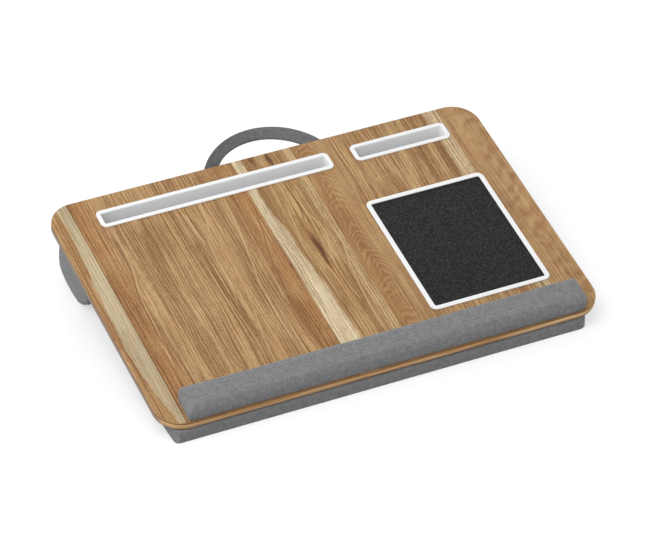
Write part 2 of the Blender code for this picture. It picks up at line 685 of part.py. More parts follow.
def build_strap(deck, webbing):
    """The loop of webbing, flat behind the board, with its ends round the bending line."""
    pivot = add_empty("strap_pivot", (STRAP_LOOP_X, HINGE_Y, STRAP_MIDDLE), parent=deck)
    rise = STRAP_END_Y - LOOP_Y
    points = []
    for radius, turn in ((LOOP_OUTER, 1), (LOOP_INNER, -1)):
        start = math.asin(rise / radius)
        span = math.pi - 2 * start
        for step in range(LOOP_STEPS + 1):
            share = step / LOOP_STEPS if turn > 0 else 1 - step / LOOP_STEPS
            angle = start + span * share
            points.append((radius * math.cos(angle), radius * math.sin(angle) - (HINGE_Y - LOOP_Y)))
    outline = poly_curve("carry_strap_outline", points)
    outline.data.fill_mode = "BOTH"
    outline.data.extrude = STRAP_THICKNESS / 2
    strap = add_mesh("carry_strap", mesh_from_curve(outline), webbing, pivot)
    bevel = strap.modifiers.new("rounded edges", "BEVEL")
    bevel.width = STRAP_EDGE_ROUND
    bevel.segments = 2
    bevel.limit_method = "ANGLE"
    bevel.angle_limit = math.radians(50)


def build():
    clear_scene()
    deck = add_empty("deck_frame", (0.0, DECK_Y, DECK_Z), DECK_SLOPE)
    fabric = finish_material("heathered grey fabric", (0.20, 0.20, 0.205), 0.95)
    webbing = finish_material("grey strap fabric", (0.13, 0.13, 0.135), 0.95)
    plastic = finish_material("white plastic", (0.88, 0.88, 0.88), 0.35)
    slots = (("tablet_tray", TABLET_SLOT_LENGTH, TABLET_SLOT_X), ("phone_tray", PHONE_SLOT_LENGTH, PHONE_SLOT_X))
    side_gap = RIB_RADIUS + CUT_GAP
    cutters = {
        "trays": [tray_cutter(name + "_hole_cutter", length, x, deck, side_gap) for name, length, x in slots],
        "pockets": [tray_cutter(name + "_pocket_cutter", length, x, deck, side_gap) for name, length, x in slots],
        "pad": pad_cutter(deck),
        "staples": staple_cutter(deck),
        "tabs": tab_cutter(deck),
    }
    build_board(deck, cutters)
    for name, length, x in slots:
        build_tray(name, length, x, deck, plastic)
    build_pad(deck, plastic)
    build_wrist_rest(deck, fabric)
    build_cloth(deck, fabric, cutters)
    build_bolsters(fabric, cutters)
    build_tabs(deck, webbing)
    build_strap(deck, webbing)


build()
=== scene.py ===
import math

import bmesh
import bpy
import numpy as np
from mathutils import Matrix, Vector


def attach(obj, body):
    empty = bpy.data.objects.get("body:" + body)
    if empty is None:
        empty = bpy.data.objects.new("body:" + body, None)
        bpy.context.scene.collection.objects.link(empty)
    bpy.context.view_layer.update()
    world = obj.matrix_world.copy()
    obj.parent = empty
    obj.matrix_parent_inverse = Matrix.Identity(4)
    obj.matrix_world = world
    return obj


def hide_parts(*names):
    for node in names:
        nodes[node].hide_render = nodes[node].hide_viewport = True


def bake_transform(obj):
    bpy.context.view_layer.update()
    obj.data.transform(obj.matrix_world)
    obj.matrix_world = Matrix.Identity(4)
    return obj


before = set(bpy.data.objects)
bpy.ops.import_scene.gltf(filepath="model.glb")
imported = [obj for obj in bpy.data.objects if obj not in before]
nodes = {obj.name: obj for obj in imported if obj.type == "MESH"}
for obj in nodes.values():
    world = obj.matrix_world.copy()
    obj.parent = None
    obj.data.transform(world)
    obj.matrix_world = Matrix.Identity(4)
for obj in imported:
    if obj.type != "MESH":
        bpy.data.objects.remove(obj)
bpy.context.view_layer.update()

# the board's top face: its slope, and the world place of its middle
deck = {"slope": math.radians(10.6), "y": -0.027630, "z": 0.056606}
deckPlace = Matrix.Translation((0, deck["y"], deck["z"])) @ Matrix.Rotation(deck["slope"], 4, "X")
# its outline, and the middles of what is set into it, in its own frame
board = {"size": (0.535, 0.354), "corner": 0.032}
middles = {"tablet": (-0.0701, 0.1409), "phone": (0.1627, 0.1409), "pad": (0.1553, -0.0272)}
trayLengths = {"tablet": 0.2782, "phone": 0.1114}
# points nearer than this are at the same place
near = 1e-5


def leaveEdit():
    bpy.ops.object.mode_set(mode="OBJECT")


def selectMesh():
    bpy.ops.mesh.select_all(action="SELECT")


def clearSelection():
    if bpy.context.mode != "OBJECT":
        leaveEdit()
    bpy.ops.object.select_all(action="DESELECT")


def makeActive(piece):
    clearSelection()
    piece.select_set(True)
    bpy.context.view_layer.objects.active = piece


def startEdit(piece):
    makeActive(piece)
    bpy.ops.object.mode_set(mode="EDIT")


def pick(piece, kind, test):
    # in edit mode: select the verts, edges or faces that pass the test, and nothing else
    bpy.ops.mesh.select_mode(type={"verts": "VERT", "edges": "EDGE", "faces": "FACE"}[kind])
    bpy.ops.mesh.select_all(action="DESELECT")
    bm = bmesh.from_edit_mesh(piece.data)
    for item in getattr(bm, kind):
        if test(item):
            item.select_set(True)
    bm.select_flush_mode()
    bmesh.update_edit_mesh(piece.data)


def edgeMiddle(edge):
    return (edge.verts[0].co + edge.verts[1].co) / 2


def levelEdge(height):
    # an edge that lies at one height
    return lambda edge: all(abs(vert.co.z - height) < near for vert in edge.verts)


def sharpEdge(height):
    # a level edge where two faces meet at an angle
    level = levelEdge(height)
    return lambda edge: level(edge) and abs(edge.calc_face_angle(0)) > 1.0


def faceAt(height):
    # a level face at one height
    return lambda face: abs(face.calc_center_median().z - height) < near and abs(face.normal.z) > 0.99


def plate(name, centre, size, level, corner, steps):
    # a flat face with round corners, left in edit mode with all of it selected
    clearSelection()
    bpy.ops.mesh.primitive_plane_add(size=1, location=(centre[0], centre[1], level))
    piece = bpy.context.active_object
    piece.name = name
    piece.scale = (size[0], size[1], 1)
    bpy.ops.object.transform_apply(location=True, rotation=False, scale=True)
    bpy.ops.object.mode_set(mode="EDIT")
    selectMesh()
    bpy.ops.mesh.bevel(offset=corner, segments=steps, affect="VERTICES")
    return piece


def raiseFaces(height):
    bpy.ops.mesh.extrude_region_move(TRANSFORM_OT_translate={"value": (0, 0, height)})


def roundEdges(piece, test, width, steps):
    pick(piece, "edges", test)
    bpy.ops.mesh.bevel(offset=width, segments=steps, affect="EDGES")


def turnOutwards():
    selectMesh()
    bpy.ops.mesh.normals_make_consistent(inside=False)


def closeShape():
    # weld, turn all faces outwards and go back to object mode
    selectMesh()
    bpy.ops.mesh.remove_doubles(threshold=1e-6)
    turnOutwards()
    leaveEdit()


def cutHoles(piece, holes, low, tall, steps, corner=0.004):
    for centre, size in holes:
        cutter = plate("cutter", centre, size, low, corner, steps)
        raiseFaces(tall)
        closeShape()
        applyModifier(piece, "BOOLEAN", operation="DIFFERENCE", solver="EXACT", object=cutter)
        bpy.data.objects.remove(cutter)


def applyModifier(piece, kind, **settings):
    makeActive(piece)
    modifier = piece.modifiers.new("work", kind)
    for name, value in settings.items():
        setattr(modifier, name, value)
    bpy.ops.object.modifier_apply(modifier=modifier.name)


def finishPiece(piece, material, body="desk", stands=(), place=deckPlace, smooth=35):
    makeActive(piece)
    if place:
        piece.data.transform(place)
    piece.data.materials.clear()
    piece.data.materials.append(material)
    bpy.ops.object.shade_smooth_by_angle(angle=math.radians(smooth))
    if body:
        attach(piece, body)
    if stands:
        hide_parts(*stands)
    return piece


def srgb(red, green, blue):
    # the linear colour of a value read off a screen, 0 to 255
    def linear(value):
        value /= 255
        return value / 12.92 if value <= 0.04045 else ((value + 0.055) / 1.055) ** 2.4
    return (linear(red), linear(green), linear(blue), 1)


# the node tree that is being written
graph = {"tree": None}


def link(source, target):
    graph["tree"].links.new(source, target)


def addNode(kind, inputs=None, **settings):
    made = graph["tree"].nodes.new("ShaderNode" + kind)
    for name, value in settings.items():
        setattr(made, name, value)
    for name, value in (inputs or {}).items():
        if isinstance(value, bpy.types.NodeSocket):
            link(value, made.inputs[name])
        else:
            made.inputs[name].default_value = value
    return made


def doMath(operation, first, second=0.0, clamp=False):
    return addNode("Math", {0: first, 1: second}, operation=operation, use_clamp=clamp).outputs[0]


def plus(first, second, clamp=False):
    return doMath("ADD", first, second, clamp)


def minus(first, second):
    return doMath("SUBTRACT", first, second)


def times(first, second):
    return doMath("MULTIPLY", first, second)


def doVector(operation, first, second):
    return addNode("VectorMath", {0: first, 1: second}, operation=operation).outputs[0]


def spread(value, fromLow, fromHigh, toLow=0.0, toHigh=1.0, soft=False):
    limits = {"From Min": fromLow, "From Max": fromHigh, "To Min": toLow, "To Max": toHigh}
    kind = "SMOOTHSTEP" if soft else "LINEAR"
    return addNode("MapRange", {"Value": value, **limits}, interpolation_type=kind).outputs["Result"]


def mixColour(share, first, second, mode="MIX"):
    made = addNode("Mix", {0: share, 6: first, 7: second}, data_type="RGBA", blend_type=mode)
    return made.outputs[2]


def stretched(vector, scale):
    return addNode("Mapping", {"Vector": vector, "Scale": scale}).outputs[0]


def noise(vector, scale=1.0, detail=3.0, rough=0.5):
    made = addNode("TexNoise", {"Vector": vector, "Scale": scale, "Detail": detail, "Roughness": rough})
    return made.outputs["Fac"]


def drawnOut(vector, scale, detail=2, rough=0.5):
    # noise with its own scale along each axis
    return noise(stretched(vector, scale), 1, detail, rough)


def ramp(value, stops, interpolation="LINEAR"):
    made = addNode("ValToRGB", {"Fac": value})
    made.color_ramp.interpolation = interpolation
    elements = made.color_ramp.elements
    while len(elements) < len(stops):
        elements.new(0.5)
    for element, (position, colour) in zip(elements, stops):
        element.position = position
        element.color = colour
    return made.outputs["Color"]


def linkSurface(shader, colour, rough, height, strength, distance):
    # what every material ends with: its colour, its roughness and a bump
    relief = addNode("Bump", {"Height": height, "Strength": strength, "Distance": distance})
    link(colour, shader.inputs["Base Color"])
    link(rough, shader.inputs["Roughness"])
    link(relief.outputs["Normal"], shader.inputs["Normal"])


def newMaterial(name, **sockets):
    # also makes its tree the one that is being written
    material = bpy.data.materials.new(name)
    material.use_nodes = True
    graph["tree"] = material.node_tree
    shader = material.node_tree.nodes["Principled BSDF"]
    for socket, value in sockets.items():
        shader.inputs[socket].default_value = value
    return material, shader


def objectMillimetres():
    coords = addNode("TexCoord").outputs["Object"]
    return stretched(coords, (1000, 1000, 1000))


def deckMillimetres():
    # Object coordinates turned into the board's own frame: x across, y along the grain, z up from the top
    slope, y, z = deck["slope"], deck["y"], deck["z"]
    back = (0, -1000 * (y * math.cos(slope) + z * math.sin(slope)),
            -1000 * (z * math.cos(slope) - y * math.sin(slope)))
    coords = addNode("TexCoord").outputs["Object"]
    return addNode("Mapping", {"Vector": coords, "Scale": (1000, 1000, 1000),
                               "Rotation": (-slope, 0, 0), "Location": back}).outputs[0]


def seenDirectly():
    # 1 where the camera looks straight at something, or through glass or a mirror
    rays = addNode("LightPath").outputs
    seen = plus(rays["Is Camera Ray"], rays["Is Glossy Ray"], clamp=True)
    return plus(seen, rays["Is Transmission Ray"], clamp=True)


def makeStage():
    view = {"place": (-1.3837, -3.01995, 2.4308), "aim": (0.3399, 0.7337, -0.5883), "lens": 200.48}
    lampAim = Vector((0, 0, 0.04))
    skyStrength = 0.52
    ground = {"size": 14, "level": -0.0004, "tone": (0.55, 0.55, 0.55, 1), "glow": 0.55}
    cameraData = bpy.data.cameras.new("camera")
    cameraData.lens = view["lens"]
    cameraData.sensor_width = 36
    cameraData.clip_end = 50
    camera = bpy.data.objects.new("camera", cameraData)
    bpy.context.scene.collection.objects.link(camera)
    camera.location = view["place"]
    camera.rotation_euler = Vector(view["aim"]).to_track_quat("-Z", "Y").to_euler()
    bpy.context.scene.camera = camera

    lamps = {
        "keyLamp": {"place": (-0.9, -0.5, 1.9), "size": 1.3, "power": 17},
        "sideLamp": {"place": (-1.6, 0.2, 0.5), "size": 0.9, "power": 5},
        "fillLamp": {"place": (1.3, -1.1, 1.4), "size": 1.4, "power": 5},
        "rearLamp": {"place": (0.1, 1.6, 1.2), "size": 1.2, "power": 5},
    }
    for name, lamp in lamps.items():
        light = bpy.data.lights.new(name, "AREA")
        light.shape = "SQUARE"
        light.size = lamp["size"]
        light.energy = lamp["power"]
        holder = bpy.data.objects.new(name, light)
        bpy.context.scene.collection.objects.link(holder)
        holder.location = lamp["place"]
        holder.rotation_euler = (lampAim - holder.location).to_track_quat("-Z", "Y").to_euler()

    world = bpy.context.scene.world or bpy.data.worlds.new("studio")
    bpy.context.scene.world = world
    world.use_nodes = True
    graph["tree"] = world.node_tree
    world.node_tree.nodes.clear()
    soft = addNode("Background", {"Color": (0.98, 0.99, 1, 1), "Strength": skyStrength})
    white = addNode("Background", {"Color": (1, 1, 1, 1), "Strength": 1.0})
    both = addNode("MixShader", {0: seenDirectly(), 1: soft.outputs[0], 2: white.outputs[0]})
    output = addNode("OutputWorld")
    link(both.outputs[0], output.inputs["Surface"])

    clearSelection()
    bpy.ops.mesh.primitive_plane_add(size=ground["size"], location=(0, 0, ground["level"]))
    floor = bpy.context.active_object
    floor.name = "floor"
    bpy.ops.object.transform_apply(location=True, rotation=False, scale=False)
    material, shader = newMaterial("paleFloor", Roughness=0.9)
    shader.inputs["Base Color"].default_value = ground["tone"]
    shader.inputs["Specular IOR Level"].default_value = 0.0
    ownLight = times(seenDirectly(), ground["glow"])
    glow = addNode("Emission", {"Color": (1, 1, 1, 1), "Strength": ownLight})
    both = addNode("AddShader", {0: shader.outputs[0], 1: glow.outputs[0]})
    # seen from below, the floor is clear, so that the underside shows
    clear = addNode("BsdfTransparent")
    underneath = addNode("NewGeometry").outputs["Backfacing"]
    sided = addNode("MixShader", {0: underneath, 1: both.outputs[0], 2: clear.outputs[0]})
    link(sided.outputs[0], material.node_tree.nodes["Material Output"].inputs["Surface"])
    floor.data.materials.append(material)
    bpy.context.scene.view_settings.view_transform = "Standard"


wood = {
    "width": 535.0, "depth": 354.0,
    # where each plank starts, in millimetres across the board, and its own tone
    "planks": ((-267.5, (170, 131, 87)), (-239.8, (168, 132, 90)), (-36.8, (161, 125, 81)),
               (37.5, (169, 132, 90)), (138.0, (168, 134, 93)), (225.8, (169, 131, 90))),
    "red": (146, 97, 48), "dark": (104, 64, 34), "straw": (202, 168, 120),
    "pale": (207, 188, 154), "leftPale": (188, 171, 139),
    # the outer edge of two stripes of sapwood, as (y, x) points
    "leftEdge": ((177, -254.2), (127, -253.5), (77, -255.8), (27, -258.2), (-23, -260.2), (-90, -259.4),
                 (-123, -255.8), (-177, -247.0)),
    "midEdge": ((177, -23.5), (128, -25.0), (85, -24.5), (72, -22.0), (45, -19.2), (12, -17.5),
                (-22, -15.5), (-55, -13.4), (-88, -12.6), (-120, -11.6), (-177, -11.0)),
    # single growth lines: half width, strength, then (y, x) points along the line
    "paleLines": (
        (1.4, 0.80, ((177, -126), (130, -122.6), (108, -119.3), (77, -117.6), (68, -114.3))),
        (1.2, 0.60, ((177, -88), (130, -95), (110, -98.5), (90, -101.8), (72, -106))),
        (1.2, 0.70, ((66, -111.5), (37, -112.6), (-3, -114.3), (-30, -118))),
        (1.3, 0.70, ((125, -67.5), (90, -69.3), (55, -73.5), (23, -77.6), (-8, -81.8), (-103, -83))),
        (1.0, 0.50, ((120, -59.3), (80, -61), (50, -61.8), (5, -63.5), (-40, -66))),
        (1.2, 0.65, ((130, -207), (60, -207), (40, -210), (23, -214), (-27, -217), (-90, -221))),
        (1.1, 0.55, ((-5, -209), (-40, -209.5), (-90, -209), (-125, -208))),
        (2.6, 0.50, ((10, -169), (-20, -167), (-60, -165), (-130, -164))),
        (1.2, 0.55, ((-10, -100), (-47, -105), (-84, -111), (-110, -113))),
        (1.1, 0.50, ((-10, -128), (-30, -125), (-60, -122.5), (-105, -121))),
        (1.3, 0.80, ((45, 30), (12, 31), (-18, 25), (-55, 21), (-120, 18.5))),
        (1.1, 0.60, ((95, -3), (60, -8), (20, -13), (-20, -9), (-70, -8))),
        (1.2, 0.65, ((110, 15), (75, 13), (40, 20), (10, 13), (-20, 9), (-70, 13))),
        (1.2, 0.65, ((177, 124), (126, 133), (100, 136), (85, 138.5), (66, 139))),
    ),
    "darkLines": (
        (1.3, 0.60, ((110, -211), (60, -210), (45, -212), (10, -217), (-90, -217.5))),
        (1.2, 0.65, ((45, -173.5), (20, -172.6), (-42, -171))),
        (1.2, 0.70, ((0, -158.5), (-60, -157.5), (-95, -157), (-120, -155.5))),
        (1.1, 0.45, ((115, -146), (80, -145), (50, -144))),
        (1.3, 0.60, ((95, -41.5), (60, -47), (30, -53.5), (-12, -58.5), (-60, -62))),
        (1.3, 0.90, ((125, 7.9), (100, 8.8), (78, 8.2), (66, 6))),
        (0.9, 0.75, ((42, -0.9), (20, -0.3), (-8, 0.6))),
        (1.1, 0.90, ((44, 2.0), (20, 2.8), (-14, 3.4))),
        (0.9, 0.75, ((34, 5.6), (15, 6.2), (0, 6.0))),
        (0.8, 0.30, ((80, -35.5), (62, -31), (40, -25), (20, -21))),
        (0.8, 0.30, ((60, -35.5), (38, -29), (14, -22.5))),
        (0.8, 0.26, ((40, -35), (20, -31), (-10, -27))),
        (1.2, 0.50, ((-20, -12), (-60, -9), (-125, -6))),
        (1.2, 0.60, ((-53, 62.5), (-90, 62.7), (-123, 62.5))),
        (1.4, 0.55, ((177, 180), (120, 179), (66, 178.5))),
        (2.2, 0.50, ((177, 203), (120, 202), (66, 203.5))),
    ),
    # heart streak and knots: middle, radii, strength, colour, and the share of the radius that is full
    "hearts": (
        ((14.5, 14), (7.0, 34), 0.42, (206, 174, 126), 0.3),
        ((4.0, 34), (9.5, 52), 0.34, (142, 98, 58), 0.3),
        ((2.8, 16), (4.8, 38), 0.70, (124, 78, 44), 0.4),
        ((3.0, 13), (2.6, 26), 0.85, (84, 46, 22), 0.3),
        ((-1.5, 58), (1.8, 16), 0.55, (120, 80, 46), 0.4),
        ((8.0, -34), (2.0, 30), 0.45, (124, 80, 44), 0.4),
        ((-3.5, 170), (4.5, 16), 0.50, (208, 180, 136), 0.4),
        ((7.2, 168), (5.0, 15), 0.92, (96, 54, 22), 0.4),
        ((-13.5, 174), (3.6, 11), 0.82, (108, 66, 32), 0.4),
    ),
    # joints between the planks: place, half width, depth of colour
    "joints": ((-239.8, 0.7, 0.75), (-36.8, 0.6, 0.45), (37.5, 0.5, 0.40), (225.8, 0.5, 0.35)),
}


def edgeCurve(along, points):
    # a line that wanders across the board as it runs along it: (y, x) points in millimetres
    reach = wood["width"] / 2 + 10
    made = addNode("FloatCurve", {"Value": along})
    curve = made.mapping.curves[0]
    while len(curve.points) < len(points):
        curve.points.new(0.5, 0.5)
    for point, (y, x) in zip(curve.points, sorted(points)):
        point.location = ((y + wood["depth"] / 2) / wood["depth"], (x + reach) / (2 * reach))
    made.mapping.update()
    return spread(made.outputs[0], 0, 1, -reach, reach)


def span(value, low, high, lowFade, highFade):
    # 1 between two values, fading to 0 outside each of them
    return times(spread(value, low - lowFade, low + lowFade, soft=True),
                 spread(value, high + highFade, high - highFade, soft=True))


def ellipseMask(vector, centre, radii, wobble=0.0, inner=0.35):
    moved = doVector("SUBTRACT", vector, (*centre, 0))
    flat = doVector("MULTIPLY", moved, (1 / radii[0], 1 / radii[1], 0))
    distance = addNode("VectorMath", {0: flat}, operation="LENGTH").outputs["Value"]
    return spread(plus(distance, wobble), 1.0, inner, soft=True)


def fibreFlow(place, own, x):
    # the fibres wander sideways as they run along a plank, and part round the heart streak
    drift = drawnOut(own, (0.012, 0.0042, 0), rough=0.4)
    ripple = drawnOut(own, (0.05, 0.017, 0), rough=0.4)
    shift = plus(spread(drift, 0.25, 0.75, -3.5, 3.5), spread(ripple, 0.25, 0.75, -0.6, 0.6))
    part = ellipseMask(place, (5, 30), (24, 100))
    shift = plus(shift, times(minus(5.0, x), times(part, 0.4)))
    return doVector("ADD", own, addNode("CombineXYZ", {"X": shift}).outputs[0])


def grainSignal(flow):
    # long thin growth lines, dark in some places and pale in others, then fibres of several widths:
    # all added up to a value round zero
    crossing = addNode("SeparateXYZ", {0: flow}).outputs["X"]
    sway = drawnOut(flow, (0.035, 0.0035, 0))
    wave = doMath("SINE", plus(times(crossing, 1.75), times(sway, 26.0)))
    clear = drawnOut(flow, (0.05, 0.006, 0))
    darkLine = times(spread(wave, 0.35, 1.0), spread(clear, 0.46, 0.60, 0, 0.24, True))
    paleLine = times(spread(wave, -0.45, -1.0), spread(clear, 0.54, 0.40, 0, 0.26, True))
    total = minus(paleLine, darkLine)
    # each width of fibre: its scale across and along, its detail and roughness, and its weight
    layers = (((0.34, 0.0055, 0), 2, 0.6, 0.50), ((0.80, 0.0085, 0), 2, 0.6, 1.05),
              ((0.13, 0.0045, 0), 2, 0.5, 0.22), ((0.04, 0.0025, 0), 2, 0.5, 0.20),
              ((1.1, 0.11, 0), 1, 0.6, 0.36), ((0.95, 0.42, 0), 1, 0.6, 0.42))
    for scale, detail, rough, weight in layers:
        layer = drawnOut(flow, scale, detail, rough)
        total = plus(total, times(minus(layer, 0.5), weight))
    return total


def drawnLines(x, y, along):
    # the single growth lines, gathered into one pale and one dark mask
    masks = []
    for shade in ("paleLines", "darkLines"):
        mask = 0.0
        for width, strength, points in wood[shade]:
            gap = doMath("ABSOLUTE", minus(x, edgeCurve(along, points)))
            line = times(spread(gap, width, width * 0.15, 0, strength),
                         span(y, min(points)[0], max(points)[0], 8, 8))
            mask = doMath("MAXIMUM", mask, line)
        masks.append(mask)
    return masks


def woodMaterial():
    # oak in planks of different growth: sapwood stripes, flowing grain, pores, a heart streak and two knots
    material, shader = newMaterial("oakPlanks", **{"Specular IOR Level": 0.25})
    place = deckMillimetres()
    x, y, z = addNode("SeparateXYZ", {0: place}).outputs
    along = spread(y, -wood["depth"] / 2, wood["depth"] / 2)
    across = spread(x, -wood["width"] / 2, wood["width"] / 2)
    starts = [(start + wood["width"] / 2) / wood["width"] for start, tone in wood["planks"]]
    tones = [(start, srgb(*plank[1])) for start, plank in zip(starts, wood["planks"])]
    tone = ramp(across, tones, "CONSTANT")
    # each plank reads the noise at its own place
    steps = [(start, (0.17 * i, 0.61 * i % 1, 0.37 * i % 1, 1)) for i, start in enumerate(starts)]
    jump = doVector("MULTIPLY", ramp(across, steps, "CONSTANT"), (900, 900, 900))
    own = doVector("ADD", place, jump)
    flow = fibreFlow(place, own, x)
    cloud = drawnOut(own, (0.03, 0.018, 0), 3)
    pores = drawnOut(flow, (1.3, 0.05, 0), rough=0.6)
    signal = grainSignal(flow)

    # sapwood: wandering stripes at the left and in the middle, a soft one beside that, one at the right
    wander = drawnOut(own, (0.05, 0.03, 0))
    wobble = spread(wander, 0.3, 0.7, -1.6, 1.6)
    leftEdge = plus(wobble, edgeCurve(along, wood["leftEdge"]))
    inLeft = times(spread(minus(x, leftEdge), -0.9, 1.8, soft=True), spread(x, -239.6, -240.0))
    midEdge = plus(wobble, edgeCurve(along, wood["midEdge"]))
    inMid = times(spread(minus(midEdge, x), -1.2, 2.4, soft=True), spread(x, -37.0, -36.6))
    wobbled = plus(x, wobble)
    softRight = times(spread(wobbled, 18, 30, soft=True), spread(x, 37.8, 37.2))
    stripe = times(spread(wobbled, 206.5, 209, soft=True), spread(x, 226, 225.6))
    sap = plus(inLeft, inMid, clamp=True)
    sapTone = mixColour(inLeft, srgb(*wood["pale"]), srgb(*wood["leftPale"]))
    colour = mixColour(times(sap, 0.94), tone, sapTone)
    colour = mixColour(times(softRight, 0.46), colour, srgb(212, 184, 140))
    colour = mixColour(times(stripe, 0.50), colour, srgb(*wood["pale"]))
    # the grain is quieter on sapwood and where cross figure takes over
    calm = minus(1.0, plus(times(sap, 0.25), times(inLeft, 0.2)))
    figured = plus(span(x, 40, 84, 3, 14), spread(x, 226, 240, 0, 0.9), clamp=True)
    calm = times(calm, spread(figured, 0, 1, 1.0, 0.62))

    # redder edges of the wide plank, dark streaks right of the middle, cloudy patches
    leftRed = span(x, -240, -216, 0.3, 12)
    rightRed = span(x, -64, -36.8, 15, 0.3)
    streaks = times(span(x, 172, 204, 5, 4), spread(signal, 0.1, -0.12))
    reds = plus(plus(leftRed, rightRed), streaks, clamp=True)
    reds = doMath("MAXIMUM", reds, times(span(x, 37.5, 58, 0.3, 7), 0.8))
    colour = mixColour(times(reds, 0.56), colour, srgb(*wood["red"]))
    colour = mixColour(spread(cloud, 0.44, 0.66, 0, 0.16, True), colour, srgb(*wood["straw"]))
    colour = mixColour(spread(cloud, 0.50, 0.34, 0, 0.12, True), colour, srgb(*wood["red"]))

    # grain: lighter lines go pale, darker lines go red-brown
    paleShare = times(spread(signal, 0.0, 0.21, 0, 0.98), calm)
    darkShare = times(spread(signal, 0.0, -0.21, 0, 0.98), calm)
    colour = mixColour(paleShare, colour, (1.50, 1.58, 1.62, 1), "MULTIPLY")
    colour = mixColour(darkShare, colour, (0.60, 0.47, 0.36, 1), "MULTIPLY")

    paleLine, darkLine = drawnLines(x, y, along)
    colour = mixColour(times(paleLine, 0.8), colour, srgb(222, 190, 142))
    colour = mixColour(darkLine, colour, srgb(112, 72, 40))

    # cross figure: nested arcs on the plank beside the pad, soft diagonal curl on the last plank
    patches = spread(drawnOut(own, (0.045, 0.028, 0)), 0.38, 0.56, 0.25, 1, True)
    bow = doMath("POWER", doMath("ABSOLUTE", minus(x, 54.0)), 2.0)
    arcs = plus(plus(y, times(bow, 0.085)), times(wander, 34.0))
    arcs = times(doMath("SINE", times(arcs, 0.66)), span(x, 41, 69, 3, 9))
    slant = plus(minus(y, times(x, 0.7)), times(wander, 60.0))
    curl = times(doMath("SINE", times(slant, 0.24)), spread(x, 228, 252, 0, 1.1, soft=True))
    figure = times(plus(arcs, curl), patches)
    colour = mixColour(spread(figure, 0.0, 1.0, 0, 0.32), colour, srgb(*wood["straw"]))
    colour = mixColour(spread(figure, -0.2, -1.0, 0, 0.42), colour, srgb(*wood["red"]))

    # heart streak and the knots by the rear edge
    ragged = spread(drawnOut(flow, (0.42, 0.03, 0), 3, 0.6), 0.2, 0.8, -0.75, 0.75)
    for centre, radii, strength, shade, inner in wood["hearts"]:
        mask = ellipseMask(place, centre, radii, ragged, inner)
        colour = mixColour(times(mask, strength), colour, srgb(*shade))

    # open pores
    poreMask = times(spread(pores, 0.57, 0.68, 0, 0.50, True), calm)
    colour = mixColour(poreMask, colour, srgb(*wood["dark"]))

    # the front strip, plain and darker: painted shade in front of the wrist rest, where the sheet turns
    # down; then the joints and the sheet's own cut edge
    paintedFrontShade = spread(y, -172.6, -174.6, 0, 0.75, True)
    colour = mixColour(paintedFrontShade, colour, srgb(142, 102, 62))
    seams = 0.0
    for joint, width, depth in wood["joints"]:
        gap = doMath("ABSOLUTE", minus(x, joint))
        seams = plus(seams, spread(gap, width, 0.1, 0, depth))
    seams = doMath("MAXIMUM", seams, spread(z, -0.10, -0.20, 0, 0.8))
    colour = mixColour(seams, colour, srgb(96, 62, 34))

    rough = spread(minus(poreMask, signal), -0.2, 0.6, 0.46, 0.66)
    relief = minus(times(signal, 0.8), doMath("MAXIMUM", poreMask, seams))
    linkSurface(shader, colour, rough, relief, 0.35, 0.00015)
    return material


def bandMaterial():
    # edging whose grain runs round the board, so the lines keep their height
    material, shader = newMaterial("oakEdging", **{"Specular IOR Level": 0.35})
    place = deckMillimetres()
    broad = drawnOut(place, (0.010, 0.010, 0.30))
    lines = drawnOut(place, (0.012, 0.012, 0.62), 3, 0.6)
    flecks = drawnOut(place, (0.12, 0.12, 2.4))
    tones = [(0.34, srgb(184, 134, 82)), (0.5, srgb(204, 158, 104)), (0.66, srgb(222, 184, 134))]
    colour = ramp(broad, tones)
    colour = mixColour(spread(lines, 0.50, 0.62, 0, 0.75, True), colour, srgb(146, 92, 46))
    colour = mixColour(spread(lines, 0.46, 0.36, 0, 0.45, True), colour, srgb(232, 200, 152))
    colour = mixColour(spread(flecks, 0.58, 0.70, 0, 0.4, True), colour, srgb(124, 80, 42))
    # painted shade on the left side, a painted highlight across the middle of the height, and painted shade
    # along both rims: in the gap under the sheet, and where the edge rounds under
    split = addNode("SeparateXYZ", {0: place}).outputs
    height = split["Z"]
    paintedLeftSideShade = spread(split["X"], -262.5, -266.8, 0, 0.85, True)
    colour = mixColour(paintedLeftSideShade, colour, srgb(118, 103, 90))
    paintedHighlight = span(height, -4.6, -2.0, 1.2, 0.8)
    colour = mixColour(paintedHighlight, colour, (1.22, 1.24, 1.28, 1), "MULTIPLY")
    colour = mixColour(spread(height, -6.6, -8.2, 0, 0.55, True), colour, srgb(138, 110, 82))
    colour = mixColour(spread(height, -1.7, -1.2, 0, 0.6, True), colour, srgb(104, 66, 34))
    linkSurface(shader, colour, spread(lines, 0.3, 0.7, 0.38, 0.55), lines, 0.25, 0.0001)
    return material


